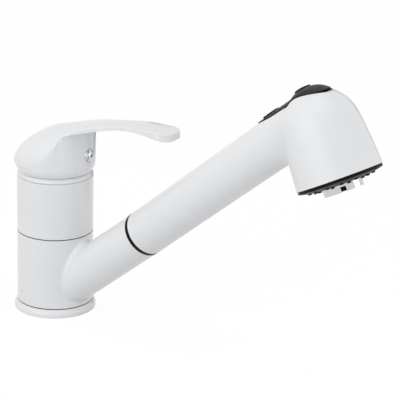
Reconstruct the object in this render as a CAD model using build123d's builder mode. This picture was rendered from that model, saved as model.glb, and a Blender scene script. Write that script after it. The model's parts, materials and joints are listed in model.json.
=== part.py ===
"""Pull-out kitchen mixer tap: swivelling column, single lever, pull-out spray.

Millimetres. The origin is the centre of the foot on the deck, +Z is up, and the spout points along +X.
"""

import os
from math import cos, radians, sin, tan

from build123d import *

# Column
column_radius = 24.0
flange_radius = 25.8
flange_height = 5.0
flange_edge = 2.0
seam = 0.6
swivel_height = 51.5
body_top = 88.0
stem_radius = 19.0
stem_wall = 3.5
glide_width = 2.3
glide_height = 4.4
window_sill = 6.5
window_back = 2.0
window_head = 3.0

# Fits
running_fit = 0.05
seat_fit = 0.1
clearance = 0.3

# Foot
seal_inner = 21.6
seal_width = 2.2
seal_height = 1.4
stud_drill = 6.8
stud_offset = 12.2
stud_depth = 18.0
stud_boss_radius = 5.2

# Water ports under the cartridge
seat_height = 54.0
floor_thickness = 10.0
port_radius = 3.0
inlet_back = 5.5
inlet_spread = 6.8
outlet_front = 8.2
hose_port_drill = 9.0
hose_port_depth = 7.0

# Cartridge
cartridge_radius = 17.5
cartridge_bore = 15.8
base_thickness = 4.0
port_seal_radius = 5.0
port_seal_height = 1.2
disc_thickness = 3.5
fixed_disc_radius = 13.5
moving_disc_radius = 11.0
mixing_depth = 2.0
carrier_radius = 11.5
carrier_height = 5.0
carrier_flat = 10.4
tab_width = 2.4
tab_length = 12.0
neck_radius = 12.8
shoulder_drop = 2.0
shoulder_wall = 2.4
neck_rise = 5.0
pivot_drop = 9.0
pin_radius = 1.75
pin_length = 25.0
shaft_depth = 8.0
shaft_width = 7.0
shaft_rise = 26.5
stem_tail_radius = 2.2
ball_radius = 2.6
ball_drop = 10.8
ball_play = 0.35
lift_angle = 25.0
nut_radius = 19.9
nut_thread_height = 3.2
nut_hex_height = 2.4
nut_hex_corner = 19.0
dome_lip_radius = 16.2
dome_rise = 7.0
dome_shoulder_radius = 22.2
dome_shoulder_rise = 3.6
dome_wall = 1.5

# Lever handle
lever_turn = 9.0
handle_radius = 25.2
rim_rise = 3.6
rim_tuck = 2.0
bulge_rise = 5.4
skirt_wall = 2.3
roof_rise = 28.0
lever_reach = 87.2
lever_half_width = 9.0
strap_rise = 39.6
tip_corner = 6.5
visor_rise = 28.8
# Sections of the cap: place and half width as shares of its radius, edge over the bulge, crown over the roof
cap_sections = [
    (-1.05, 0.24, 0.0, -22.0),
    (-0.95, 0.4, 0.0, -18.1),
    (-0.79, 0.66, 0.0, -12.6),
    (-0.5, 0.905, 0.0, -6.4),
    (0.0, 1.0, 2.0, 0.0),
    (0.32, 0.946, 7.5, 2.2),
    (0.6, 0.815, 17.4, 3.9),
    (0.87, 0.65, 24.2, 5.4),
]
# Sections of the strap: place as a share of the reach, added half width, edge and crown below the top
strap_sections = [
    (0.327, 4.0, 7.0, 4.7),
    (0.42, 1.4, 5.0, 3.1),
    (0.56, 0.0, 2.6, 1.4),
    (0.736, -0.2, 1.0, 0.0),
    (0.89, 0.4, 1.2, 0.2),
    (1.0, 0.4, 2.6, 1.6),
]
# Underside of the strap: place as a share of the reach, depth below the top
strap_underside = [(1.0, 6.0), (0.901, 5.4), (0.714, 3.6), (0.495, 5.7)]
# Visor and the crease below it: distance past the cap's radius, height over the visor
visor_lip = (5.0, 2.0)
crease = [(-4.0, 0.0), (-9.8, -4.0), (-11.4, -11.0)]
crease_end = 16.0
cavity_rise = 21.4
cavity_shoulder = 5.0
boss_radius = 7.6
boss_rise = 9.0
screw_rise = 12.6
screw_radius = 2.5
screw_length = 10.0
plug_radius = 4.1
plug_dome = 1.9
plug_flange = 1.0
plug_shank_radius = 3.0
plug_shank_length = 6.0
plug_dimple = 0.8

# Arm
arm_angle = 38.5
arm_root_height = 7.2
arm_radius = 14.4
arm_wall = 2.5
arm_blend = 3.0
dock_distance = 95.4
dock_ring_width = 2.6
collar_length = 16.0
collar_wall = 2.6
collar_flare = 1.2

# Pull-out spray
grip_end = 250.0
grip_end_radius = 14.6
grip_rise = 1.9
shell_wall = 2.4
face_along = 248.5
face_below = 34.5
face_tilt = 27.7
rim_face_radius = 25.4
head_flare = 3.0
head_outline = [(23.3, 25.0, 8.0), (19.6, 39.8, 35.0), (10.5, 49.6, 65.0)]
head_top = 52.9
head_blend = 6.0

# Selector rocker
pad_rear = 216.5
pad_front = 270.5
pad_widths = [(221.0, 4.4), (230.0, 7.0), (246.0, 8.4), (259.0, 10.2), (267.0, 7.2)]
pad_proud = 0.6
pad_bottom = 10.8
pad_gap = 0.6
pocket_floor = 9.0
bed_wall = 2.0
bed_bottom = 7.6
touch_proud = 0.8
touch_place = 255.0
touch_length = 9.0
touch_width = 11.0
rib_count = 4
rib_pitch = 2.6
rib_width = 1.3
rib_length = 8.0
rib_place = 228.0
rocker_pin_along = 243.0
rocker_pin_height = 12.6
rocker_pin_radius = 1.25
rocker_pin_length = 18.0
finger_along = 250.0
finger_thickness = 2.0
finger_width = 3.0
finger_height = 2.7
finger_room = 2.0

# Waterway inside the spray
nose_radius = 8.9
nose_taper = 0.9
nose_length = 10.0
connector_length = 12.6
connector_setback = 1.0
hose_socket_radius = 7.0
hose_socket_depth = 8.2
washer_radius = 6.2
washer_height = 1.8
water_bore = 3.8
spigot_radius = 5.2
spigot_length = 10.0
tube_wall = 1.3
diverter_radius = 7.2
diverter_start = 238.0
diverter_end = 266.0
spool_bore = 4.3
spool_length = 18.0
spool_core = 1.9
spool_seal_inset = 3.0
spool_seal_width = 1.6
outlet_pipe_radius = 9.0
cup_wall = 1.7
cup_start = 1.6
cup_ceiling = 8.6
cup_cover = 3.0

# Spray face
face_flange = 24.9
face_flange_height = 1.8
face_dome = 3.9
face_bow = 0.5
face_plug_depth = 5.0
face_plug_wall = 1.9
face_plate_wall = 1.7
mat_top = 1.3
nozzle_radius = 1.1
nozzle_proud = 0.6
inner_nozzle_ring = 15.4
inner_nozzles = 10
outer_nozzle_ring = 19.0
outer_nozzles = 14
aerator_radius = 11.8
aerator_bore = 9.7
aerator_stand = 8.2
aerator_back = 7.0
notch_count = 4
notch_width = 3.0
notch_depth = 3.0
notch_turn = 38.6
insert_recess = 0.4
insert_depth = 8.0
grid_hole = 1.3
grid_pitch = 1.9
grid_rings = 9

# Heights that follow from the column's top
shoulder_height = body_top - shoulder_drop
neck_top = body_top + neck_rise
pivot_height = body_top - pivot_drop
ball_height = pivot_height - ball_drop
shaft_top = body_top + shaft_rise
dome_lip_height = body_top + dome_rise
dome_shoulder_height = body_top + dome_shoulder_rise
rim_height = body_top + rim_rise
rim_radius = handle_radius - rim_tuck
bulge_height = rim_height + bulge_rise
roof_height = rim_height + roof_rise
lever_top = rim_height + strap_rise
visor_height = rim_height + visor_rise
cavity_height = rim_height + cavity_rise
boss_bottom = rim_height + boss_rise
screw_height = rim_height + screw_rise

# Directions and planes
arm_dir = Vector(cos(radians(arm_angle)), 0, sin(radians(arm_angle)))
arm_up = Vector(-sin(radians(arm_angle)), 0, cos(radians(arm_angle)))
arm_origin = Vector(0, 0, arm_root_height)
arm_side = Plane(origin=arm_origin, x_dir=arm_dir, z_dir=(0, -1, 0))
arm_above = Plane(origin=arm_origin, x_dir=arm_dir, z_dir=arm_up)
arm_axis = Axis(arm_origin, arm_dir)

face_centre = arm_origin + arm_dir * face_along - arm_up * face_below
head_up = Vector(-sin(radians(face_tilt)), 0, cos(radians(face_tilt)))
head_front = Vector(cos(radians(face_tilt)), 0, sin(radians(face_tilt)))
head_side = Plane(origin=face_centre, x_dir=head_front, z_dir=(0, -1, 0))
head_above = Plane(origin=face_centre, x_dir=head_front, z_dir=head_up)
head_axis = Axis(face_centre, head_up)

lever_dir = Vector(cos(radians(lever_turn)), sin(radians(lever_turn)), 0)
lever_left = Vector(-sin(radians(lever_turn)), cos(radians(lever_turn)), 0)
lever_side = Plane(origin=(0, 0, 0), x_dir=lever_dir, z_dir=-lever_left)
lever_above = Plane(origin=(0, 0, 0), x_dir=lever_dir, z_dir=(0, 0, 1))


def across_arm(distance, rise=0):
    """Plane square to the arm's axis, at a distance along it."""
    return Plane(origin=arm_origin + arm_dir * distance + arm_up * rise, x_dir=(0, 1, 0), z_dir=arm_dir)


def across_lever(distance):
    """Plane square to the lever, at a distance from the column's axis; its sketch is (sideways, height)."""
    return Plane(origin=lever_dir * distance, x_dir=lever_left, z_dir=lever_dir)


def ring(inner, outer, bottom, top):
    """Plain ring about the column's axis."""
    with BuildPart() as part:
        with BuildSketch(Plane.XY.offset(bottom)):
            Circle(outer)
            Circle(inner, mode=Mode.SUBTRACT)
        extrude(amount=top - bottom)
    return part


def turned(plane, axis, points):
    """Turned part from a straight-sided half section."""
    with BuildPart() as part:
        with BuildSketch(plane):
            with BuildLine():
                Polyline(*points, close=True)
            make_face()
        revolve(axis=axis)
    return part


# Fixed column

sleeve_bottom = flange_height + seam
sleeve_top = swivel_height - seam / 2
body_bottom = swivel_height + seam / 2
stem_bore = stem_radius - stem_wall
glide_radius = stem_radius + glide_width
chamber_radius = cartridge_radius + seat_fit * 2
nut_seat = shoulder_height
floor_bottom = seat_height - floor_thickness
ports = [(-inlet_back, inlet_spread), (-inlet_back, -inlet_spread), (outlet_front, 0)]

with BuildPart() as main_body:
    with BuildSketch(Plane.XZ):
        with BuildLine():
            Polyline(
                (stem_bore, 0),
                (stem_radius, 0),
                (stem_radius, body_bottom),
                (column_radius, body_bottom),
                (column_radius, body_top - seam),
                (column_radius - seam, body_top),
                (nut_radius + seat_fit, body_top),
                (nut_radius + seat_fit, nut_seat - clearance),
                (chamber_radius, nut_seat - clearance),
                (chamber_radius, seat_height),
                (0, seat_height),
                (0, floor_bottom),
                (stem_bore, floor_bottom),
                close=True,
            )
        make_face()
    revolve(axis=Axis.Z)
    with BuildSketch(Plane.XY):
        with Locations((-stud_offset, 0)):
            Circle(stud_boss_radius)
    extrude(amount=stud_depth + stud_boss_radius)
    with BuildSketch(Plane.XY):
        with Locations((-stud_offset, 0)):
            Circle(stud_drill / 2)
    extrude(amount=stud_depth, mode=Mode.SUBTRACT)
    # The hose leaves the stem through a wide front window, which stays open over the whole swivel
    with BuildSketch(Plane.XY.offset(window_sill)):
        with Locations((stem_radius / 2 - window_back / 2, 0)):
            Rectangle(stem_radius + window_back, 2 * stem_radius)
    extrude(amount=floor_bottom - window_head - window_sill, mode=Mode.SUBTRACT)
    with BuildSketch(Plane.XY.offset(floor_bottom)):
        with Locations(*ports):
            Circle(port_radius)
    extrude(amount=floor_thickness, mode=Mode.SUBTRACT)
    with BuildSketch(Plane.XY.offset(floor_bottom)):
        with Locations(*ports):
            Circle(hose_port_drill / 2)
    extrude(amount=hose_port_depth, mode=Mode.SUBTRACT)

seal_outer = seal_inner + seal_width
with BuildPart() as base_flange:
    with BuildSketch(Plane.XZ):
        with BuildLine():
            Polyline(
                (flange_radius, flange_edge),
                (flange_radius, 0),
                (seal_outer + running_fit, 0),
                (seal_outer + running_fit, seal_height),
                (seal_inner - running_fit, seal_height),
                (seal_inner - running_fit, 0),
                (stem_radius + seat_fit, 0),
                (stem_radius + seat_fit, flange_height),
                (column_radius, flange_height),
            )
            RadiusArc(
                (column_radius, flange_height),
                (flange_radius, flange_edge),
                2 * (flange_height - flange_edge),
            )
        make_face()
    revolve(axis=Axis.Z)

base_seal = ring(seal_inner, seal_outer, 0, seal_height)
lower_glide_ring = ring(stem_radius + seat_fit, glide_radius, flange_height, flange_height + glide_height)
upper_glide_ring = ring(stem_radius + seat_fit, glide_radius, body_bottom - glide_height, body_bottom)

# Swivelling sleeve with its arm

arm_bore = arm_radius - arm_wall
arm_end = dock_distance - dock_ring_width / 2
sleeve_bore = stem_radius + 2 * clearance

with BuildPart() as spout_body:
    with BuildSketch(Plane.XY.offset(sleeve_bottom)):
        Circle(column_radius)
    extrude(amount=sleeve_top - sleeve_bottom)
    with BuildSketch(across_arm(column_radius / 2)):
        Circle(arm_radius)
    extrude(amount=arm_end - column_radius / 2)
    junction = spout_body.edges().filter_by(GeomType.BSPLINE).sort_by(SortBy.LENGTH)[-1]
    fillet(junction, arm_blend)
    with BuildSketch(Plane.XY):
        Circle(2 * column_radius)
    extrude(amount=sleeve_bottom, mode=Mode.SUBTRACT)
    with BuildSketch(Plane.XY.offset(sleeve_bottom)):
        Circle(sleeve_bore)
    extrude(amount=sleeve_top - sleeve_bottom, mode=Mode.SUBTRACT)
    with BuildSketch(Plane.XY.offset(sleeve_bottom)):
        Circle(glide_radius + running_fit)
    extrude(amount=flange_height + glide_height - sleeve_bottom, mode=Mode.SUBTRACT)
    with BuildSketch(Plane.XY.offset(sleeve_top)):
        Circle(glide_radius + running_fit)
    extrude(amount=-(sleeve_top - body_bottom + glide_height + seat_fit), mode=Mode.SUBTRACT)
    with BuildSketch(across_arm(column_radius / 2)):
        Circle(arm_bore)
    extrude(amount=arm_end - column_radius / 2, mode=Mode.SUBTRACT)

collar_bore = arm_bore - seat_fit - collar_wall
collar_start = arm_end - collar_length
ring_end = dock_distance + dock_ring_width / 2
docking_collar = turned(
    arm_side,
    arm_axis,
    [
        (collar_start, collar_bore + collar_flare),
        (collar_start, arm_bore - seat_fit),
        (arm_end, arm_bore - seat_fit),
        (arm_end, arm_radius),
        (ring_end, arm_radius),
        (ring_end, collar_bore + collar_flare),
        (ring_end - collar_flare, collar_bore),
        (collar_start + collar_flare, collar_bore),
    ],
)

# Cartridge

base_top = seat_height + base_thickness
fixed_top = base_top + disc_thickness
moving_top = fixed_top + disc_thickness
carrier_top = moving_top + carrier_height
rotor_bottom = carrier_top + clearance
rotor_radius = cartridge_bore - clearance
ceiling = shoulder_height - shoulder_wall
rotor_shoulder = ceiling - clearance
stroke = (pivot_height - ball_height) * radians(lift_angle)
disc_place = lever_dir * (-stroke / 2)

with BuildPart() as cartridge_base:
    with BuildSketch(Plane.XY.offset(seat_height)):
        Circle(cartridge_radius)
    extrude(amount=base_thickness)
    with BuildSketch(Plane.XY.offset(base_top)):
        Circle(cartridge_bore - seat_fit)
        Circle(fixed_disc_radius + seat_fit, mode=Mode.SUBTRACT)
    extrude(amount=disc_thickness - clearance)
    with BuildSketch(Plane.XY.offset(seat_height)):
        with Locations(*ports):
            Circle(port_radius)
    extrude(amount=base_thickness, mode=Mode.SUBTRACT)
    with BuildSketch(Plane.XY.offset(seat_height)):
        with Locations(*ports):
            Circle(port_seal_radius + running_fit)
    extrude(amount=port_seal_height, mode=Mode.SUBTRACT)

with BuildPart() as base_seals:
    with BuildSketch(Plane.XY.offset(seat_height)):
        with Locations(*ports):
            Circle(port_seal_radius)
        with Locations(*ports):
            Circle(port_radius, mode=Mode.SUBTRACT)
    extrude(amount=port_seal_height)

cartridge_housing = turned(
    Plane.XZ,
    Axis.Z,
    [
        (cartridge_bore, base_top),
        (cartridge_radius, base_top),
        (cartridge_radius, shoulder_height),
        (neck_radius + clearance, shoulder_height),
        (neck_radius + clearance, ceiling),
        (cartridge_bore, ceiling),
    ],
)

with BuildPart() as fixed_disc:
    with BuildSketch(Plane.XY.offset(base_top)):
        Circle(fixed_disc_radius)
        with Locations(*ports):
            Circle(port_radius, mode=Mode.SUBTRACT)
    extrude(amount=disc_thickness)

disc_plane = Plane(origin=disc_place, x_dir=lever_dir, z_dir=(0, 0, 1))
with BuildPart() as moving_disc:
    with BuildSketch(disc_plane.offset(fixed_top)):
        Circle(moving_disc_radius)
    extrude(amount=disc_thickness)
    with BuildSketch(disc_plane.offset(fixed_top)):
        Ellipse(moving_disc_radius - 2 * port_radius + mixing_depth, moving_disc_radius - port_radius)
    extrude(amount=mixing_depth, mode=Mode.SUBTRACT)

with BuildPart() as disc_carrier:
    with BuildSketch(disc_plane.offset(moving_top)):
        Circle(carrier_radius)
        Rectangle(2 * carrier_radius, 2 * carrier_flat, mode=Mode.INTERSECT)
    extrude(amount=carrier_height)
    with BuildSketch(lever_above.offset(moving_top)):
        Rectangle(2 * (ball_radius + ball_play), 2 * (ball_radius + running_fit))
    extrude(amount=carrier_height, mode=Mode.SUBTRACT)

slope = tan(radians(lift_angle))
half_shaft = shaft_depth / 2 / cos(radians(lift_angle)) + clearance
below_pivot = pivot_height - rotor_bottom
above_pivot = neck_top - pivot_height
with BuildPart() as rotor:
    with BuildSketch(lever_above.offset(rotor_bottom)):
        Circle(rotor_radius)
    extrude(amount=rotor_shoulder - rotor_bottom)
    with BuildSketch(lever_above.offset(rotor_bottom)):
        Circle(neck_radius)
    extrude(amount=neck_top - rotor_bottom)
    # Two tabs reach down beside the carrier's flats and turn it
    with BuildSketch(lever_above.offset(moving_top + clearance)):
        with GridLocations(0, 2 * (carrier_flat + running_fit) + tab_width, 1, 2):
            Rectangle(tab_length, tab_width)
    extrude(amount=carrier_height)
    # The shaft swings in a slot that opens forwards below the pivot and backwards above it
    with BuildSketch(lever_side):
        with BuildLine():
            Polyline(
                (-half_shaft, pivot_height - below_pivot),
                (half_shaft + below_pivot * slope, pivot_height - below_pivot),
                (half_shaft, pivot_height),
                (half_shaft, pivot_height + above_pivot),
                (-half_shaft - above_pivot * slope, pivot_height + above_pivot),
                (-half_shaft, pivot_height),
                close=True,
            )
        make_face()
    extrude(amount=shaft_width / 2 + running_fit, both=True, mode=Mode.SUBTRACT)
    with BuildSketch(lever_side):
        with Locations((0, pivot_height)):
            Circle(pin_radius + running_fit)
    extrude(amount=pin_length / 2 + running_fit, both=True, mode=Mode.SUBTRACT)

with BuildPart() as pivot_pin:
    with BuildSketch(lever_side):
        with Locations((0, pivot_height)):
            Circle(pin_radius)
    extrude(amount=pin_length / 2, both=True)

tail_top = pivot_height - shaft_depth / 2
with BuildPart() as stem:
    with BuildSketch(lever_above.offset(tail_top)):
        Rectangle(shaft_depth, shaft_width)
    extrude(amount=shaft_top - tail_top)
    with BuildSketch(lever_above.offset(ball_height)):
        Circle(stem_tail_radius)
    extrude(amount=tail_top - ball_height)
    with BuildSketch(lever_side):
        with BuildLine():
            CenterArc((0, ball_height), ball_radius, -90, 180)
            Line((0, ball_height + ball_radius), (0, ball_height - ball_radius))
        make_face()
    revolve(axis=Axis.Z)
    with BuildSketch(lever_side):
        with Locations((0, pivot_height)):
            Circle(pin_radius + running_fit)
    extrude(amount=shaft_width, both=True, mode=Mode.SUBTRACT)

with BuildPart() as cartridge_nut:
    with BuildSketch(Plane.XY.offset(nut_seat)):
        Circle(nut_radius)
    extrude(amount=nut_thread_height)
    with BuildSketch(Plane.XY.offset(nut_seat)):
        RegularPolygon(nut_hex_corner, 6)
    extrude(amount=nut_thread_height + nut_hex_height)
    with BuildSketch(Plane.XY.offset(nut_seat)):
        Circle(neck_radius + clearance)
    extrude(amount=nut_thread_height + nut_hex_height, mode=Mode.SUBTRACT)

with BuildPart() as dome_ring:
    with BuildSketch(Plane.XZ):
        with BuildLine():
            Line((column_radius - seam, body_top), (column_radius, body_top + seam))
            Spline(
                (column_radius, body_top + seam),
                (dome_shoulder_radius, dome_shoulder_height),
                (dome_lip_radius, dome_lip_height),
            )
            Line((dome_lip_radius, dome_lip_height), (dome_lip_radius, dome_lip_height - dome_wall))
            Spline(
                (dome_lip_radius, dome_lip_height - dome_wall),
                (dome_shoulder_radius - dome_wall, dome_shoulder_height - dome_wall / 2),
                (column_radius - dome_wall, body_top),
            )
            Line((column_radius - dome_wall, body_top), (column_radius - seam, body_top))
        make_face()
    revolve(axis=Axis.Z)

# Lever handle: a hood lofted from the rounded back of the cap to the tip of the strap

cavity_radius = handle_radius - skirt_wall
plug_seat = handle_radius - plug_flange
plug_shank_start = plug_seat - plug_shank_length
hood_stations = [
    (handle_radius * place, handle_radius * width, bulge_height + edge, roof_height + crown)
    for place, width, edge, crown in cap_sections
] + [
    (lever_reach * place, lever_half_width + width, lever_top - edge, lever_top - crown)
    for place, width, edge, crown in strap_sections
]
tip_half_width = hood_stations[-1][1] + seat_fit
underside = [(lever_reach * place, lever_top - depth) for place, depth in strap_underside]
crease_line = [(handle_radius + past, visor_height + rise) for past, rise in crease]
crease_foot = (handle_radius - crease_end, bulge_height)

with BuildPart() as under_lever:
    # All that the cap's wall and the underside of the visor and strap leave standing
    with BuildSketch(Plane.XZ):
        with BuildLine():
            TangentArc((handle_radius, bulge_height), (rim_radius, rim_height), tangent=(0, -1))
            Polyline(
                (rim_radius, rim_height),
                (0, rim_height),
                (0, lever_top),
                (handle_radius, lever_top),
                (handle_radius, bulge_height),
            )
        make_face()
    revolve(axis=Axis.Z)
    with BuildSketch(lever_side):
        with BuildLine():
            Spline(
                *underside,
                (handle_radius + visor_lip[0], visor_height + visor_lip[1]),
                crease_line[0],
            )
            Spline(*crease_line, crease_foot)
            Polyline(
                crease_foot,
                (-2 * handle_radius, bulge_height),
                (-2 * handle_radius, 2 * lever_top),
                (lever_reach, 2 * lever_top),
                underside[0],
            )
        make_face()
    extrude(amount=2 * handle_radius, both=True)

with BuildPart() as lever_handle:
    for station, half_width, edge, crown in hood_stations:
        with BuildSketch(across_lever(station)):
            with BuildLine():
                Polyline(
                    (-half_width, edge),
                    (-half_width, pivot_height),
                    (half_width, pivot_height),
                    (half_width, edge),
                )
                EllipticalCenterArc((0, edge), half_width, crown - edge, start_angle=0, arc_size=180)
            make_face()
    loft()
    add(under_lever.part, mode=Mode.INTERSECT)
    # Rounded tip
    with BuildSketch(lever_above.offset(rim_height)):
        with Locations((lever_reach, 0)):
            Rectangle(2 * tip_corner, 4 * tip_half_width)
        with Locations((lever_reach - 2 * tip_corner, 0)):
            RectangleRounded(4 * tip_corner, 2 * tip_half_width, tip_corner, mode=Mode.SUBTRACT)
    extrude(amount=2 * (lever_top - rim_height), mode=Mode.SUBTRACT)
    # Hollow cap
    with BuildSketch(Plane.XZ):
        with BuildLine():
            Polyline(
                (0, cavity_height),
                (0, rim_height),
                (cavity_radius, rim_height),
                (cavity_radius, bulge_height),
            )
            Spline(
                (cavity_radius, bulge_height),
                (cavity_radius - cavity_shoulder, (bulge_height + cavity_height) / 2),
                (0, cavity_height),
                tangents=((0, 1), (-1, 0)),
            )
        make_face()
    revolve(axis=Axis.Z, mode=Mode.SUBTRACT)
    # Boss that sits on the shaft, with a web to the front wall for the screw
    with BuildSketch(lever_above.offset(boss_bottom)):
        Circle(boss_radius)
        with Locations((cavity_radius / 2, 0)):
            Rectangle(cavity_radius + skirt_wall / 2, 2 * (screw_radius + skirt_wall))
    extrude(amount=cavity_height + skirt_wall - boss_bottom)
    with BuildSketch(lever_above.offset(boss_bottom)):
        Rectangle(shaft_depth + 2 * seat_fit, shaft_width + 2 * seat_fit)
    extrude(amount=shaft_top + clearance - boss_bottom, mode=Mode.SUBTRACT)
    with BuildSketch(across_lever(0)):
        with Locations((0, screw_height)):
            Circle(screw_radius + running_fit)
    extrude(amount=plug_shank_start, mode=Mode.SUBTRACT)
    with BuildSketch(across_lever(plug_shank_start)):
        with Locations((0, screw_height)):
            Circle(plug_shank_radius + running_fit)
    extrude(amount=handle_radius, mode=Mode.SUBTRACT)
    with BuildSketch(across_lever(plug_seat)):
        with Locations((0, screw_height)):
            Circle(plug_radius + seat_fit)
    extrude(amount=handle_radius, mode=Mode.SUBTRACT)

with BuildPart() as grub_screw:
    with BuildSketch(across_lever(shaft_depth / 2)):
        with Locations((0, screw_height)):
            Circle(screw_radius)
    extrude(amount=screw_length)
    with BuildSketch(across_lever(shaft_depth / 2 + screw_length)):
        with Locations((0, screw_height)):
            RegularPolygon(screw_radius / 2, 6)
    extrude(amount=-screw_length / 2, mode=Mode.SUBTRACT)

plug_face = plug_seat + plug_flange
with BuildPart() as indicator_plug:
    with BuildSketch(lever_side):
        with BuildLine():
            Polyline(
                (plug_face + plug_dome - plug_dimple, screw_height),
                (plug_shank_start, screw_height),
                (plug_shank_start, screw_height + plug_shank_radius),
                (plug_seat, screw_height + plug_shank_radius),
                (plug_seat, screw_height + plug_radius),
                (plug_face, screw_height + plug_radius),
            )
            TangentArc(
                (plug_face + plug_dome, screw_height + plug_dimple),
                (plug_face, screw_height + plug_radius),
                tangent=(0, 1),
            )
            Polyline(
                (plug_face + plug_dome, screw_height + plug_dimple),
                (plug_face + plug_dome - plug_dimple, screw_height + plug_dimple),
                (plug_face + plug_dome - plug_dimple, screw_height),
            )
        make_face()
    revolve(axis=Axis((0, 0, screw_height), lever_dir))

# Pull-out spray


def spray_form(extra):
    """Outer form of the spray, grown all over by an amount: tapered grip and bell-shaped head."""
    outline = [
        (radius + extra * cos(radians(lean)), height + extra * sin(radians(lean)))
        for radius, height, lean in head_outline
    ]
    with BuildPart() as form:
        with BuildSketch(across_arm(ring_end)):
            Circle(arm_radius + extra)
        with BuildSketch(across_arm(grip_end, grip_rise)):
            Circle(grip_end_radius + extra)
        loft()
        with BuildSketch(head_side):
            with BuildLine():
                Line((0, 0), (rim_face_radius + extra, 0))
                Spline(
                    (rim_face_radius + extra, 0),
                    *outline,
                    (0, head_top + extra),
                    tangents=((-sin(radians(head_flare)), cos(radians(head_flare))), (-1, 0)),
                )
                Line((0, head_top + extra), (0, 0))
            make_face()
        revolve(axis=head_axis)
        junction = form.edges().filter_by(GeomType.BSPLINE).filter_by(lambda edge: edge.is_closed)
        fillet(junction, head_blend - extra)
    return form


def pad_outline(height, grow):
    """Teardrop of the selector, seen from above the grip, grown by an amount."""
    half = [(along, width + grow) for along, width in pad_widths]
    far = [(along, -width) for along, width in reversed(half)]
    with BuildSketch(arm_above.offset(height)) as outline:
        with BuildLine():
            Spline((pad_rear - grow, 0), *half, (pad_front + grow, 0), *far, periodic=True)
        make_face()
    return outline.sketch


spray_outside = spray_form(0)
spray_inside = spray_form(-shell_wall)
above_head = head_top
plug_outer = rim_face_radius - shell_wall - seat_fit

with BuildPart() as selector_bed:
    extrude(pad_outline(bed_bottom, pad_gap + bed_wall), amount=above_head)
    add(spray_outside.part, mode=Mode.INTERSECT)

with BuildPart() as spray_shell:
    add(spray_outside.part)
    add(spray_inside.part, mode=Mode.SUBTRACT)
    with BuildSketch(head_above):
        Circle(plug_outer + seat_fit)
    extrude(amount=face_plug_depth + clearance, mode=Mode.SUBTRACT)
    add(selector_bed.part)
    extrude(pad_outline(pocket_floor, pad_gap), amount=above_head, mode=Mode.SUBTRACT)
    with BuildSketch(arm_above.offset(bed_bottom)):
        with Locations((finger_along, 0)):
            Rectangle(finger_thickness + 2 * finger_room, finger_width + 2 * clearance)
    extrude(amount=pocket_floor - bed_bottom, mode=Mode.SUBTRACT)
    with BuildSketch(arm_side):
        with Locations((rocker_pin_along, rocker_pin_height)):
            Circle(rocker_pin_radius + running_fit)
    extrude(amount=rocker_pin_length / 2, both=True, mode=Mode.SUBTRACT)

with BuildPart() as selector_bumps:
    with BuildSketch(arm_above.offset(pad_bottom)):
        with Locations((touch_place, 0)):
            Ellipse(touch_length / 2, touch_width / 2)
        with Locations((rib_place, 0)):
            with GridLocations(rib_pitch, 0, rib_count, 1):
                Rectangle(rib_width, rib_length)
    extrude(amount=above_head)
    add(spray_form(pad_proud + touch_proud).part, mode=Mode.INTERSECT)

with BuildPart() as selector_rocker:
    extrude(pad_outline(pad_bottom, 0), amount=above_head)
    add(spray_form(pad_proud).part, mode=Mode.INTERSECT)
    add(selector_bumps.part)
    with BuildSketch(arm_above.offset(finger_height)):
        with Locations((finger_along, 0)):
            Rectangle(finger_thickness, finger_width)
    extrude(amount=rocker_pin_height - finger_height)
    with BuildSketch(arm_side):
        with Locations((rocker_pin_along, rocker_pin_height)):
            Circle(rocker_pin_radius + running_fit)
    extrude(amount=rocker_pin_length, both=True, mode=Mode.SUBTRACT)

with BuildPart() as rocker_pin:
    with BuildSketch(arm_side):
        with Locations((rocker_pin_along, rocker_pin_height)):
            Circle(rocker_pin_radius)
    extrude(amount=rocker_pin_length / 2, both=True)

# Waterway from the hose to the face

nose_start = ring_end - nose_length
connector_start = ring_end + connector_setback
connector_end = connector_start + connector_length
connector_radius = arm_radius - shell_wall - clearance
socket_end = nose_start + hose_socket_depth
washer_end = socket_end + washer_height
hose_connector = turned(
    arm_side,
    arm_axis,
    [
        (nose_start, hose_socket_radius),
        (nose_start, nose_radius - nose_taper),
        (ring_end, nose_radius),
        (connector_start, nose_radius),
        (connector_start, connector_radius),
        (connector_end, connector_radius),
        (connector_end, spigot_radius),
        (connector_end + spigot_length, spigot_radius),
        (connector_end + spigot_length, water_bore),
        (washer_end, water_bore),
        (washer_end, washer_radius),
        (socket_end, washer_radius),
        (socket_end, hose_socket_radius),
    ],
)
connector_seal = turned(
    arm_side,
    arm_axis,
    [
        (socket_end, water_bore),
        (washer_end, water_bore),
        (washer_end, washer_radius - running_fit),
        (socket_end, washer_radius - running_fit),
    ],
)
waterway_tube = turned(
    arm_side,
    arm_axis,
    [
        (connector_end, spigot_radius + running_fit),
        (connector_end, spigot_radius + tube_wall),
        (diverter_start, spigot_radius + tube_wall),
        (diverter_start, spigot_radius + running_fit),
    ],
)

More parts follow.
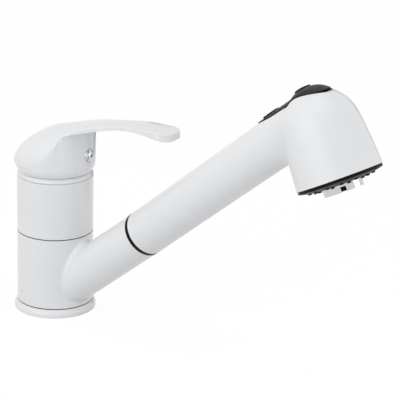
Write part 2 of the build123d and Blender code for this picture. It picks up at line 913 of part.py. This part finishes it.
pipe_top = face_below / cos(radians(arm_angle - face_tilt))
cup_bore = aerator_radius + seat_fit
cup_top = cup_ceiling + cup_cover
with BuildPart() as diverter_body:
    with BuildSketch(head_side):
        with BuildLine():
            Polyline(
                (0, cup_start),
                (cup_bore + cup_wall, cup_start),
                (cup_bore + cup_wall, cup_top),
                (outlet_pipe_radius, cup_top),
                (outlet_pipe_radius, pipe_top),
                (0, pipe_top),
                close=True,
            )
        make_face()
    revolve(axis=head_axis)
    with BuildSketch(across_arm(diverter_start)):
        Circle(diverter_radius)
    extrude(amount=diverter_end - diverter_start)
    with BuildSketch(across_arm(diverter_start - spigot_length)):
        Circle(spigot_radius)
    extrude(amount=spigot_length)
    with BuildSketch(head_above.offset(cup_start)):
        Circle(cup_bore)
    extrude(amount=cup_ceiling - cup_start, mode=Mode.SUBTRACT)
    with BuildSketch(head_above.offset(cup_ceiling)):
        Circle(outlet_pipe_radius - cup_wall)
    extrude(amount=pipe_top - cup_ceiling, mode=Mode.SUBTRACT)
    with BuildSketch(across_arm(diverter_start - spigot_length)):
        Circle(water_bore)
    extrude(amount=spigot_length, mode=Mode.SUBTRACT)
    with BuildSketch(across_arm(diverter_start)):
        Circle(spool_bore)
    extrude(amount=diverter_end - diverter_start - tube_wall, mode=Mode.SUBTRACT)
    with BuildSketch(arm_above):
        with Locations((finger_along, 0)):
            Rectangle(finger_thickness + 2 * finger_room, finger_width + 2 * clearance)
    extrude(amount=diverter_radius, mode=Mode.SUBTRACT)

spool_radius = spool_bore - seat_fit
spool_start = finger_along - spool_length / 2
spool_end = finger_along + spool_length / 2
seal_depth = spool_radius - spool_core
seal_places = [spool_start + spool_seal_inset, spool_end - spool_seal_inset]
with BuildPart() as diverter_spool:
    with BuildSketch(across_arm(spool_start)):
        Circle(spool_radius)
    extrude(amount=spool_length)
    with BuildSketch(across_arm(finger_along - finger_thickness / 2 - clearance)):
        Circle(2 * spool_radius)
        Circle(spool_core, mode=Mode.SUBTRACT)
    extrude(amount=finger_thickness + 2 * clearance, mode=Mode.SUBTRACT)
    for place in seal_places:
        with BuildSketch(across_arm(place - spool_seal_width / 2)):
            Circle(2 * spool_radius)
            Circle(spool_core, mode=Mode.SUBTRACT)
        extrude(amount=spool_seal_width, mode=Mode.SUBTRACT)

with BuildPart() as spool_seals:
    for place in seal_places:
        with BuildSketch(across_arm(place - spool_seal_width / 2)):
            Circle(spool_bore - running_fit)
            Circle(spool_core + running_fit, mode=Mode.SUBTRACT)
        extrude(amount=spool_seal_width)

# Spray face

plug_inner = plug_outer - face_plug_wall
face_hole = aerator_radius + clearance
nozzle_rings = [(inner_nozzle_ring, inner_nozzles), (outer_nozzle_ring, outer_nozzles)]
with BuildPart() as face_plate:
    with BuildSketch(head_side):
        with BuildLine():
            Polyline(
                (face_flange, -face_flange_height),
                (face_flange, 0),
                (plug_outer, 0),
                (plug_outer, face_plug_depth),
                (plug_inner, face_plug_depth),
                (plug_inner, 0),
                (face_hole, face_plate_wall - face_dome),
                (face_hole, -face_dome),
            )
            ThreePointArc(
                (face_hole, -face_dome),
                ((face_hole + face_flange) / 2, -(face_dome + face_flange_height) / 2 - face_bow),
                (face_flange, -face_flange_height),
            )
        make_face()
    revolve(axis=head_axis)
    with BuildSketch(head_above.offset(-2 * face_dome)):
        for ring_radius, count in nozzle_rings:
            with PolarLocations(ring_radius, count):
                Circle(nozzle_radius + seat_fit)
    extrude(amount=3 * face_dome, mode=Mode.SUBTRACT)


def face_depth(radius):
    """Depth of the domed face below the rim, at a distance from its axis."""
    share = (radius - face_hole) / (face_flange - face_hole)
    return face_dome + (face_flange_height - face_dome) * share + face_bow


mat_slope = (face_dome - face_plate_wall) / (plug_inner - face_hole)
with BuildPart() as nozzle_mat:
    with BuildSketch(head_side):
        with BuildLine():
            Polyline(
                (face_hole, running_fit + face_plate_wall - face_dome),
                (plug_inner - seat_fit, running_fit - seat_fit * mat_slope),
                (plug_inner - seat_fit, mat_top),
                (face_hole, mat_top),
                close=True,
            )
        make_face()
    revolve(axis=head_axis)
    for ring_radius, count in nozzle_rings:
        with BuildSketch(head_above):
            with PolarLocations(ring_radius, count):
                Circle(nozzle_radius)
        extrude(amount=-(face_depth(ring_radius) + nozzle_proud))

with BuildPart() as aerator_housing:
    with BuildSketch(head_above.offset(-aerator_stand)):
        Circle(aerator_radius)
        Circle(aerator_bore, mode=Mode.SUBTRACT)
    extrude(amount=aerator_stand + aerator_back)
    with BuildSketch(head_above.offset(-aerator_stand)):
        with PolarLocations(aerator_radius, notch_count, start_angle=notch_turn):
            Rectangle(aerator_radius, notch_width)
    extrude(amount=notch_depth, mode=Mode.SUBTRACT)

insert_radius = aerator_bore - seat_fit
with BuildPart() as aerator_insert:
    with BuildSketch(head_above.offset(insert_recess - aerator_stand)):
        Circle(insert_radius)
    extrude(amount=insert_depth)
    with BuildSketch(head_above.offset(insert_recess - aerator_stand)):
        with HexLocations(grid_pitch, grid_rings, grid_rings):
            RegularPolygon(grid_hole, 6)
        Circle(insert_radius - grid_hole, mode=Mode.INTERSECT)
    extrude(amount=insert_depth, mode=Mode.SUBTRACT)

aerator_seal = turned(
    head_side,
    head_axis,
    [
        (aerator_bore, aerator_back),
        (aerator_radius, aerator_back),
        (aerator_radius, cup_ceiling),
        (aerator_bore, cup_ceiling),
    ],
)

pieces = {
    "main_body": main_body,
    "base_flange": base_flange,
    "base_seal": base_seal,
    "lower_glide_ring": lower_glide_ring,
    "upper_glide_ring": upper_glide_ring,
    "spout_body": spout_body,
    "docking_collar": docking_collar,
    "cartridge_base": cartridge_base,
    "base_seals": base_seals,
    "cartridge_housing": cartridge_housing,
    "fixed_disc": fixed_disc,
    "moving_disc": moving_disc,
    "disc_carrier": disc_carrier,
    "rotor": rotor,
    "pivot_pin": pivot_pin,
    "stem": stem,
    "cartridge_nut": cartridge_nut,
    "dome_ring": dome_ring,
    "lever_handle": lever_handle,
    "grub_screw": grub_screw,
    "indicator_plug": indicator_plug,
    "spray_shell": spray_shell,
    "selector_rocker": selector_rocker,
    "rocker_pin": rocker_pin,
    "hose_connector": hose_connector,
    "connector_seal": connector_seal,
    "waterway_tube": waterway_tube,
    "diverter_body": diverter_body,
    "diverter_spool": diverter_spool,
    "spool_seals": spool_seals,
    "face_plate": face_plate,
    "nozzle_mat": nozzle_mat,
    "aerator_housing": aerator_housing,
    "aerator_insert": aerator_insert,
    "aerator_seal": aerator_seal,
}

os.makedirs("parts", exist_ok=True)
for name, piece in pieces.items():
    piece.part.label = name
    export_step(piece.part, f"parts/{name}.step")
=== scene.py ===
"""Looks of a pull-out kitchen mixer tap, laid out as an add-on and run as a script."""

import json
from math import cos, radians, sin

import bmesh
import bpy
import numpy as np
from mathutils import Matrix, Vector


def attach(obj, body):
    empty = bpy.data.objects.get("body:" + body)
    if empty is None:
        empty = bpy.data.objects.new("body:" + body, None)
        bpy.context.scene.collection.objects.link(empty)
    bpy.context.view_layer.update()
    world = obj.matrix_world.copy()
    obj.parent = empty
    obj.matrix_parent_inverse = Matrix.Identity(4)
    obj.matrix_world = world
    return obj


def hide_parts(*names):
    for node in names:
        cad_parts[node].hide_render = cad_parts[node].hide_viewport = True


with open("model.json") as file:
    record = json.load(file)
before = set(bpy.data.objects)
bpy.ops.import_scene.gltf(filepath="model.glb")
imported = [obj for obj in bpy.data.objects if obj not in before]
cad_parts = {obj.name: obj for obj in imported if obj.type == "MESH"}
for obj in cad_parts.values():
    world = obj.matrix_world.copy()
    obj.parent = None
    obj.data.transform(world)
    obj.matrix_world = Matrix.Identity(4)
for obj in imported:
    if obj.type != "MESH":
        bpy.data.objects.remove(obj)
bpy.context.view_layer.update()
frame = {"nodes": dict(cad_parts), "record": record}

bl_info = {
    "name": "Pull-out mixer tap",
    "version": (1, 0, 0),
    "blender": (4, 5, 0),
    "location": "View3D > Sidebar > Tap",
    "description": "Enamel, plastics, rubber and metal for a single-lever tap with a pull-out spray",
    "category": "Object",
}

nodes_of_frame = frame["nodes"]
nodes_of_body = frame["record"]["behaviour"]["bodies"]
body_of_node = {node: body for body, group in nodes_of_body.items() for node in group}
slot_of_node = {part["node"]: part["material_slot"] for part in frame["record"]["subparts"]}

# Work on the copies of the nodes, in metres and degrees

weld = 0.000002
lever_weld = 0.0002  # also closes the small step where the lever's tip begins
smooth_angle = 32.0
shell_smooth_angle = 55.0
shell_longest_edge = 0.003
most_cuts = 7
ring_round = 0.0003
round_segments = 2
round_angle = 40.0
shading_reach = 0.0035
shading_rounds = 30
normal_steps = 500  # normals of a point that agree to one part in this many count as one

# Finishes: most of a noise lies in this range

noise_low, noise_high = 0.3, 0.7
# Samples of the painted shade that darkens seams and corners
painted_shade_samples = 8

# Studio, in metres and radians; a light's last value is its share of the key light's power

lights = (
    ("key", (0.05, -1.2, 0.5), (0.08, 0, 0.09), 1.3, 1.0),
    ("top", (0.12, -0.1, 1.25), (0.1, 0, 0.1), 0.8, 0.22),
    ("right", (0.52, 0.2, 0.16), (0.25, 0, 0.12), 0.22, 0.045),
)
flags = (
    ("flag behind", (-0.15, 0.62, 0.13), (0, 0, 0.1), (0.5, 0.24)),
    ("flag right", (0.17, 0.31, 0.002), (0.17, 0.31, 1), (0.14, 0.16)),
    ("flag left", (-0.08, 0.36, 0.002), (-0.08, 0.36, 1), (0.26, 0.1)),
)
flag_colour = (0.01, 0.01, 0.01, 1)
floor_size = 6
floor_drop = 0.0002
floor_colour = (0.6, 0.6, 0.6, 1)
floor_roughness = 0.9
floor_glow = 1.08
floor_glow_share = 0.85
background_strength = 1.0
camera_place = (0.8229, -0.8781, 0.4886)
camera_turn, camera_pitch, camera_roll = radians(38.8), 0.3338, -0.0256
camera_sensor = 36  # millimetres
camera_reach = 20


# Finishes


def colour(name, text, default):
    """A colour that can be set in the panel."""
    return bpy.props.FloatVectorProperty(
        name=name, description=text, default=default, size=3, subtype="COLOR", min=0, max=1
    )


class TapFinishes(bpy.types.PropertyGroup):
    """Colours and gloss of the tap's finishes."""

    enamel: colour("Enamel", "White baked on the column, arm and lever", (0.8, 0.81, 0.825))
    shell: colour("Spray shell", "White of the moulded spray", (0.8, 0.81, 0.825))
    black: colour("Black", "Collar, spray face and aerator insert", (0.004, 0.004, 0.0045))
    soft_grey: colour("Soft grey", "Selector pad", (0.008, 0.008, 0.0085))
    rubber: colour("Rubber", "Seals and nozzles", (0.015, 0.015, 0.015))
    chrome: colour("Chrome", "Plug and aerator", (0.6, 0.605, 0.615))
    brass: colour("Brass", "Cartridge nut and hose connector", (0.68, 0.5, 0.22))
    steel: colour("Steel", "Pins, stem and screw", (0.55, 0.55, 0.57))
    ceramic: colour("Ceramic", "Mixing discs", (0.82, 0.79, 0.72))
    acetal: colour("Acetal", "Glide rings and rotor", (0.72, 0.71, 0.67))
    grey: colour("Grey plastic", "Cartridge and waterway mouldings", (0.24, 0.25, 0.27))
    enamel_gloss: bpy.props.FloatProperty(
        name="Enamel roughness",
        description="Lower is shinier",
        default=0.2,
        min=0,
        max=1,
        subtype="FACTOR",
    )


class TapStage(bpy.types.PropertyGroup):
    """Light and camera of the studio."""

    key_power: bpy.props.FloatProperty(
        name="Key light",
        description="Power of the large light at the left",
        default=6.8,
        min=0,
        unit="POWER",
    )
    fill: bpy.props.FloatProperty(
        name="Fill",
        description="Strength of the light from all round",
        default=0.68,
        min=0,
        max=2,
        subtype="FACTOR",
    )
    lens: bpy.props.FloatProperty(
        name="Lens",
        description="Focal length of the camera in millimetres",
        default=181.62,
        min=20,
        max=300,
        unit="CAMERA",
    )


class Finish:
    """Node tree of one finish, built up from its shader."""

    def __init__(self, base, **sockets):
        self.material = bpy.data.materials.new("finish")
        self.material.use_nodes = True
        self.tree = self.material.node_tree
        self.shader = self.tree.nodes["Principled BSDF"]
        self.place = self.tree.nodes.new("ShaderNodeTexCoord").outputs["Object"]
        self.base = (*base, 1)
        self.shader.inputs["Base Color"].default_value = self.base
        for socket, value in sockets.items():
            self.shader.inputs[socket.replace("_", " ")].default_value = value

    def add(self, kind, **values):
        node = self.tree.nodes.new(kind)
        for key, value in values.items():
            node.inputs[key.replace("_", " ")].default_value = value
        return node

    def darker(self, share):
        """The base colour at a share of its brightness."""
        return (*[part * share for part in self.base[:3]], 1)

    def grain(self, scale, detail=3.0, stretch=None):
        """Noise over the surface; scale is in grains per metre."""
        noise = self.add("ShaderNodeTexNoise", Scale=scale, Detail=detail)
        source = self.place
        if stretch:
            mapping = self.add("ShaderNodeMapping", Scale=stretch)
            self.tree.links.new(source, mapping.inputs["Vector"])
            source = mapping.outputs["Vector"]
        self.tree.links.new(source, noise.inputs["Vector"])
        return noise.outputs["Fac"]

    def spread(self, factor, low, high, clamp=False):
        """Most of a noise's range stretched from low to high."""
        ends = {"From_Min": noise_low, "From_Max": noise_high, "To_Min": low, "To_Max": high}
        span = self.add("ShaderNodeMapRange", **ends)
        span.clamp = clamp
        self.tree.links.new(factor, span.inputs["Value"])
        return span.outputs["Result"]

    def rough(self, factor, low, high):
        self.tree.links.new(self.spread(factor, low, high), self.shader.inputs["Roughness"])
        return self

    def tint(self, factor, share):
        """Colour that drifts darker than the base by up to a share."""
        mix = self.tree.nodes.new("ShaderNodeMix")
        mix.data_type = "RGBA"
        mix.inputs["A"].default_value = self.base
        mix.inputs["B"].default_value = self.darker(1 - share)
        self.tree.links.new(self.spread(factor, 0, 1), mix.inputs["Factor"])
        self.tree.links.new(mix.outputs["Result"], self.shader.inputs["Base Color"])
        return self

    def painted_seam_shade(self, reach, dark):
        """Painted shade: tinted colour that goes dark in joints and corners closer than a reach in
        metres, as shade would fall there.
        """
        hidden = self.add("ShaderNodeAmbientOcclusion", Distance=reach)
        hidden.samples = painted_shade_samples
        mix = self.tree.nodes.new("ShaderNodeMix")
        mix.data_type = "RGBA"
        mix.inputs["A"].default_value = self.darker(dark)
        tinted = self.shader.inputs["Base Color"].links[0].from_socket
        self.tree.links.new(tinted, mix.inputs["B"])
        open_share = self.spread(hidden.outputs["AO"], 0, 1, clamp=True)
        self.tree.links.new(open_share, mix.inputs["Factor"])
        self.tree.links.new(mix.outputs["Result"], self.shader.inputs["Base Color"])
        return self

    def bump(self, factor, depth):
        """Relief of a depth in metres."""
        bump = self.add("ShaderNodeBump", Strength=1.0, Distance=depth)
        self.tree.links.new(factor, bump.inputs["Height"])
        self.tree.links.new(bump.outputs["Normal"], self.shader.inputs["Normal"])
        return self

    def textured(self, drift, sheen, relief):
        """Each takes its grains first, then the tint's share, the roughness range or the depth."""
        self.tint(self.grain(drift[0]), drift[1])
        self.rough(self.grain(sheen[0]), sheen[1], sheen[2])
        return self.bump(self.grain(relief[0]), relief[1])


def white_enamel(finishes):
    """Baked enamel: glossy, with a faint orange peel under a clear coat, and painted shade in its
    seams and corners.
    """
    gloss = finishes.enamel_gloss
    finish = Finish(
        finishes.enamel, Coat_Weight=0.12, Coat_Roughness=0.08, Specular_IOR_Level=0.35
    )
    peel = finish.grain(150.0, 2.0)
    # Painted shade: the enamel's colour falls to a tenth in seams and corners within 1.5 mm
    finish.tint(finish.grain(12.0, 1.0), 0.006).painted_seam_shade(0.0015, 0.1)
    return finish.rough(finish.grain(40.0, 1.0), gloss, gloss + 0.01).bump(peel, 0.0000015)


def white_shell(finishes):
    """Moulded white shell, a little softer than the enamel."""
    finish = Finish(
        finishes.shell, Coat_Weight=0.06, Coat_Roughness=0.16, Specular_IOR_Level=0.35
    )
    finish.tint(finish.grain(12.0, 1.0), 0.006).rough(finish.grain(40.0, 1.0), 0.275, 0.285)
    return finish.bump(finish.grain(120.0, 1.0), 0.000001)


def black_satin(finishes):
    """Black moulding with a fine spark-eroded texture."""
    finish = Finish(finishes.black, Specular_IOR_Level=0.1)
    return finish.textured((90.0, 0.3), (260.0, 0.34, 0.5), (2200.0, 0.00003))


def soft_touch(finishes):
    """Soft-touch pad, matt with a slight bloom."""
    finish = Finish(finishes.soft_grey, Specular_IOR_Level=0.3)
    return finish.textured((120.0, 0.18), (300.0, 0.4, 0.56), (2600.0, 0.00003))


def black_rubber(finishes):
    """Moulded rubber of the seals and nozzles."""
    finish = Finish(finishes.rubber, IOR=1.45)
    return finish.textured((150.0, 0.25), (400.0, 0.5, 0.7), (1800.0, 0.00004))


def bright_chrome(finishes):
    """Polished chrome with a very slight ripple."""
    finish = Finish(finishes.chrome, Metallic=1.0)
    return finish.textured((60.0, 0.03), (220.0, 0.04, 0.09), (500.0, 0.00001))


def turned_brass(finishes):
    """Bare brass with the lines of its turning."""
    finish = Finish(finishes.brass, Metallic=1.0)
    lines = finish.grain(300.0, 4.0, (1, 1, 12))
    return finish.tint(finish.grain(80.0), 0.15).rough(lines, 0.24, 0.42).bump(lines, 0.00003)


def ground_steel(finishes):
    """Bare steel with the lines of its grinding."""
    finish = Finish(finishes.steel, Metallic=1.0)
    lines = finish.grain(700.0, 4.0, (1, 1, 8))
    return finish.tint(finish.grain(120.0), 0.1).rough(lines, 0.22, 0.38).bump(lines, 0.00002)


def lapped_ceramic(finishes):
    """Fine ceramic, lapped to a shine."""
    finish = Finish(finishes.ceramic, IOR=1.7)
    return finish.textured((500.0, 0.05), (300.0, 0.12, 0.22), (900.0, 0.00001))


def natural_acetal(finishes):
    """Uncoloured acetal, which lets a little light in."""
    finish = Finish(finishes.acetal, Subsurface_Weight=0.1, Subsurface_Scale=0.002, IOR=1.48)
    return finish.textured((70.0, 0.05), (200.0, 0.34, 0.5), (900.0, 0.00003))


def grey_moulding(finishes):
    """Plain grey moulding of the inner parts."""
    finish = Finish(finishes.grey, IOR=1.5)
    return finish.textured((80.0, 0.12), (220.0, 0.36, 0.52), (1500.0, 0.00003))


finish_of_slot = {
    "white_metal": white_enamel,
    "white_plastic": white_shell,
    "black_plastic": black_satin,
    "soft_grey": soft_touch,
    "black_rubber": black_rubber,
    "chrome": bright_chrome,
    "brass": turned_brass,
    "steel": ground_steel,
    "ceramic": lapped_ceramic,
    "acetal": natural_acetal,
    "grey_plastic": grey_moulding,
}


def finish_for(slot):
    """The finish of a material slot, made the first time that it is asked for."""
    name = slot.replace("_", " ") + " finish"
    found = bpy.data.materials.get(name)
    if found is None:
        found = finish_of_slot[slot](bpy.context.scene.tap_finishes).material
        found.name = name
    return found


def dress(piece, slot):
    piece.data.materials.clear()
    piece.data.materials.append(finish_for(slot))


def dress_nodes(*names):
    """Finishes on nodes of the frame that are shown as they are."""
    for name in names:
        dress(nodes_of_frame[name], slot_of_node[name])


# Copies of the nodes


def seat(piece, name):
    """A finished piece stands for its node, rides on its body and takes its finish."""
    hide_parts(name)
    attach(piece, body_of_node[name])
    dress(piece, slot_of_node[name])
    return piece


def alone(piece):
    """Selects one piece and nothing else."""
    bpy.ops.object.select_all(action="DESELECT")
    piece.select_set(True)
    bpy.context.view_layer.objects.active = piece


def cut_long_edges(piece, longest):
    """Splits the long triangles of a face in edit mode, so that its shading follows its curve."""
    for _ in range(most_cuts):
        mesh = bmesh.from_edit_mesh(piece.data)
        bpy.ops.mesh.select_all(action="DESELECT")
        bpy.ops.mesh.select_mode(type="EDGE")
        long_edges = [edge for edge in mesh.edges if edge.calc_length() > longest]
        if not long_edges:
            break
        for edge in long_edges:
            edge.select_set(True)
        bpy.ops.mesh.subdivide(number_cuts=1, ngon=False)
        bpy.ops.mesh.select_all(action="SELECT")
        bpy.ops.mesh.quads_convert_to_tris()


def break_edges(piece, width):
    """A small round on the sharp edges, as tumbling or polishing leaves it."""
    bevel = piece.modifiers.new("round", "BEVEL")
    bevel.width = width
    bevel.segments = round_segments
    bevel.limit_method = "ANGLE"
    bevel.angle_limit = radians(round_angle)
    bpy.ops.object.modifier_apply(modifier=bevel.name)


def smooth_from(name, angle=smooth_angle, longest=None, edge=None, merge=weld):
    """A merged and smoothly shaded copy of one node of the frame."""
    piece = bpy.data.objects.new("smooth_" + name, nodes_of_frame[name].data.copy())
    bpy.context.scene.collection.objects.link(piece)
    alone(piece)
    bpy.ops.object.mode_set(mode="EDIT")
    bpy.ops.mesh.select_all(action="SELECT")
    bpy.ops.mesh.remove_doubles(threshold=merge)
    bpy.ops.mesh.customdata_custom_splitnormals_clear()
    if longest:
        cut_long_edges(piece, longest)
    bpy.ops.object.mode_set(mode="OBJECT")
    if edge:
        break_edges(piece, edge)
    bpy.ops.object.shade_smooth_by_angle(angle=radians(angle))
    return seat(piece, name)


def even_normals(piece):
    """Shading averaged along short edges, so that the triangles of a free face don't show."""
    mesh = piece.data
    normals = np.empty(len(mesh.loops) * 3)
    mesh.corner_normals.foreach_get("vector", normals)
    owners = np.empty(len(mesh.loops), dtype=int)
    mesh.loops.foreach_get("vertex_index", owners)
    places = np.empty(len(mesh.vertices) * 3)
    mesh.vertices.foreach_get("co", places)
    normals, places = normals.reshape(-1, 3), places.reshape(-1, 3)

    # A fan is the corners at one point that share a normal
    keys = np.column_stack((owners, np.round(normals * normal_steps).astype(int)))
    fans, fan_of = np.unique(keys, axis=0, return_inverse=True)
    fan_of = fan_of.reshape(-1)
    even = np.zeros((len(fans), 3))
    np.add.at(even, fan_of, normals)
    even /= np.linalg.norm(even, axis=1, keepdims=True)

    corners = fan_of.reshape(-1, 3)
    starts, ends = corners.reshape(-1), np.roll(corners, -1, axis=1).reshape(-1)
    gaps = np.linalg.norm(places[fans[starts, 0]] - places[fans[ends, 0]], axis=1)
    weights = np.exp(-((gaps / shading_reach) ** 2))[:, None]
    for _ in range(shading_rounds):
        total = even.copy()
        np.add.at(total, starts, weights * even[ends])
        np.add.at(total, ends, weights * even[starts])
        even = total / np.linalg.norm(total, axis=1, keepdims=True)
    mesh.normals_split_custom_set(even[fan_of])


# Pieces


class TAP_OT_column(bpy.types.Operator):
    """Enamelled column, foot and arm"""

    bl_idname = "tap.column"
    bl_label = "Column and arm"

    def execute(self, context):
        for name in ("main_body", "base_flange", "dome_ring", "spout_body", "docking_collar"):
            smooth_from(name)
        dress_nodes("base_seal", "lower_glide_ring", "upper_glide_ring")
        return {"FINISHED"}


class TAP_OT_cartridge(bpy.types.Operator):
    """Ceramic cartridge inside the column"""

    bl_idname = "tap.cartridge"
    bl_label = "Cartridge"

    def execute(self, context):
        dress_nodes(
            "cartridge_base",
            "base_seals",
            "cartridge_housing",
            "fixed_disc",
            "moving_disc",
            "disc_carrier",
            "rotor",
            "pivot_pin",
            "stem",
            "cartridge_nut",
        )
        return {"FINISHED"}


class TAP_OT_lever(bpy.types.Operator):
    """Lever handle with its plug and screw"""

    bl_idname = "tap.lever"
    bl_label = "Lever"

    def execute(self, context):
        smooth_from("lever_handle", merge=lever_weld)
        smooth_from("indicator_plug")
        dress_nodes("grub_screw")
        return {"FINISHED"}


class TAP_OT_spray(bpy.types.Operator):
    """Pull-out spray with its selector"""

    bl_idname = "tap.spray"
    bl_label = "Spray"

    def execute(self, context):
        shell = smooth_from("spray_shell", angle=shell_smooth_angle, longest=shell_longest_edge)
        even_normals(shell)
        smooth_from("selector_rocker")
        dress_nodes("rocker_pin")
        return {"FINISHED"}


class TAP_OT_face(bpy.types.Operator):
    """Spray face with its nozzles and aerator"""

    bl_idname = "tap.face"
    bl_label = "Spray face"

    def execute(self, context):
        for name in ("face_plate", "nozzle_mat"):
            smooth_from(name)
        smooth_from("aerator_housing", edge=ring_round)
        dress_nodes("aerator_insert", "aerator_seal")
        return {"FINISHED"}


class TAP_OT_waterway(bpy.types.Operator):
    """Connector, tube and diverter inside the spray"""

    bl_idname = "tap.waterway"
    bl_label = "Waterway"

    def execute(self, context):
        smooth_from("hose_connector")
        dress_nodes(
            "connector_seal", "waterway_tube", "diverter_body", "diverter_spool", "spool_seals"
        )
        return {"FINISHED"}


# Studio


def facing(place, target):
    """The turn that points a light or a card from its place to a target."""
    return (Vector(target) - Vector(place)).to_track_quat("-Z", "Y")


class TAP_OT_stage(bpy.types.Operator):
    """Floor, lights and camera"""

    bl_idname = "tap.stage"
    bl_label = "Studio"

    def execute(self, context):
        stage = context.scene.tap_stage
        context.scene.view_settings.view_transform = "Standard"
        self.world(context, stage.fill)
        self.floor()
        for name, place, target, size, share in lights:
            self.light(name, place, target, size, stage.key_power * share)
        for name, place, target, size in flags:
            self.flag(name, place, target, size)
        self.camera(context, stage.lens)
        return {"FINISHED"}

    def shown_rays(self, tree):
        """1 for rays that show the background: to the camera, also by a mirror or through glass."""
        path = tree.nodes.new("ShaderNodeLightPath")
        total = path.outputs["Is Camera Ray"]
        for ray in ("Is Glossy Ray", "Is Transmission Ray"):
            either = tree.nodes.new("ShaderNodeMath")
            either.operation = "MAXIMUM"
            tree.links.new(total, either.inputs[0])
            tree.links.new(path.outputs[ray], either.inputs[1])
            total = either.outputs["Value"]
        return total

    def world(self, context, fill):
        """White to look at, with a plain even light on the tap."""
        world = bpy.data.worlds.new("studio")
        world.use_nodes = True
        context.scene.world = world
        tree = world.node_tree
        ground = tree.nodes["Background"]
        bright = tree.nodes.new("ShaderNodeMapRange")
        bright.inputs["To Min"].default_value = fill
        bright.inputs["To Max"].default_value = background_strength
        tree.links.new(self.shown_rays(tree), bright.inputs["Value"])
        tree.links.new(bright.outputs["Result"], ground.inputs["Strength"])
        ground.inputs["Color"].default_value = (1, 1, 1, 1)

    def floor(self):
        """A pale floor that keeps a share of the tap's shadow."""
        bpy.ops.object.select_all(action="DESELECT")
        bpy.ops.mesh.primitive_plane_add(size=floor_size, location=(0, 0, -floor_drop))
        floor = bpy.context.object
        floor.name = "floor"
        bpy.ops.object.transform_apply(location=True, rotation=True, scale=True)
        material = bpy.data.materials.new("pale floor")
        material.use_nodes = True
        tree = material.node_tree
        surface = tree.nodes["Principled BSDF"]
        surface.inputs["Base Color"].default_value = floor_colour
        surface.inputs["Roughness"].default_value = floor_roughness
        glow = tree.nodes.new("ShaderNodeEmission")
        glow.inputs["Strength"].default_value = floor_glow
        share = tree.nodes.new("ShaderNodeMath")
        share.operation = "MULTIPLY"
        share.inputs[1].default_value = floor_glow_share
        mix = tree.nodes.new("ShaderNodeMixShader")
        tree.links.new(self.shown_rays(tree), share.inputs[0])
        tree.links.new(share.outputs["Value"], mix.inputs["Fac"])
        tree.links.new(surface.outputs["BSDF"], mix.inputs[1])
        tree.links.new(glow.outputs["Emission"], mix.inputs[2])
        tree.links.new(mix.outputs["Shader"], tree.nodes["Material Output"].inputs["Surface"])
        floor.data.materials.append(material)

    def flag(self, name, place, target, size):
        """A black card that only shows as a dark streak in bright metal and gloss."""
        bpy.ops.object.select_all(action="DESELECT")
        bpy.ops.mesh.primitive_plane_add(size=1, location=(0, 0, 0))
        card = bpy.context.object
        card.name = name.replace(" ", "_")
        turn = facing(place, target).to_matrix().to_4x4()
        card.data.transform(Matrix.Translation(place) @ turn @ Matrix.Diagonal((*size, 1, 1)))
        card.visible_camera = card.visible_diffuse = card.visible_shadow = False
        material = bpy.data.materials.new(name)
        material.use_nodes = True
        surface = material.node_tree.nodes["Principled BSDF"]
        surface.inputs["Base Color"].default_value = flag_colour
        surface.inputs["Roughness"].default_value = 1.0
        card.data.materials.append(material)

    def light(self, name, place, target, size, power):
        lamp = bpy.data.lights.new(name, "AREA")
        lamp.size = size
        lamp.energy = power
        shown = bpy.data.objects.new(name, lamp)
        bpy.context.scene.collection.objects.link(shown)
        shown.visible_camera = False
        shown.location = place
        shown.rotation_euler = facing(place, target).to_euler()

    def camera(self, context, lens):
        """The photograph's view: turned about the vertical, pitched down, then rolled."""
        right = Vector((cos(camera_turn), sin(camera_turn), 0))
        viewer = Vector((sin(camera_turn), -cos(camera_turn), 0))
        up = Vector((0, 0, 1))
        back = up * sin(camera_pitch) + viewer * cos(camera_pitch)
        raised = up * cos(camera_pitch) - viewer * sin(camera_pitch)
        across = right * cos(camera_roll) - raised * sin(camera_roll)
        upright = right * sin(camera_roll) + raised * cos(camera_roll)
        data = bpy.data.cameras.new("camera")
        data.lens = lens
        data.sensor_width = camera_sensor
        data.clip_end = camera_reach
        camera = bpy.data.objects.new("camera", data)
        context.scene.collection.objects.link(camera)
        axes = Matrix((across, upright, back)).transposed().to_4x4()
        camera.matrix_world = Matrix.Translation(camera_place) @ axes
        context.scene.camera = camera


class TAP_PT_panel(bpy.types.Panel):
    """Buttons that build the tap"""

    bl_idname = "TAP_PT_panel"
    bl_label = "Pull-out mixer tap"
    bl_space_type = "VIEW_3D"
    bl_region_type = "UI"
    bl_category = "Tap"

    def draw(self, context):
        for operator in steps:
            self.layout.operator(operator.bl_idname)
        for group in (context.scene.tap_finishes, context.scene.tap_stage):
            for name in group.bl_rna.properties.keys():
                if name not in ("rna_type", "name"):
                    self.layout.prop(group, name)


steps = (
    TAP_OT_column,
    TAP_OT_cartridge,
    TAP_OT_lever,
    TAP_OT_spray,
    TAP_OT_face,
    TAP_OT_waterway,
    TAP_OT_stage,
)
classes = (TapFinishes, TapStage, *steps, TAP_PT_panel)


def register():
    for part in classes:
        bpy.utils.register_class(part)
    bpy.types.Scene.tap_finishes = bpy.props.PointerProperty(type=TapFinishes)
    bpy.types.Scene.tap_stage = bpy.props.PointerProperty(type=TapStage)


def unregister():
    del bpy.types.Scene.tap_stage
    del bpy.types.Scene.tap_finishes
    for part in reversed(classes):
        bpy.utils.unregister_class(part)


def main():
    register()
    bpy.ops.tap.column()
    bpy.ops.tap.cartridge()
    bpy.ops.tap.lever()
    bpy.ops.tap.spray()
    bpy.ops.tap.face()
    bpy.ops.tap.waterway()
    bpy.ops.tap.stage()


if __name__ == "__main__":
    main()
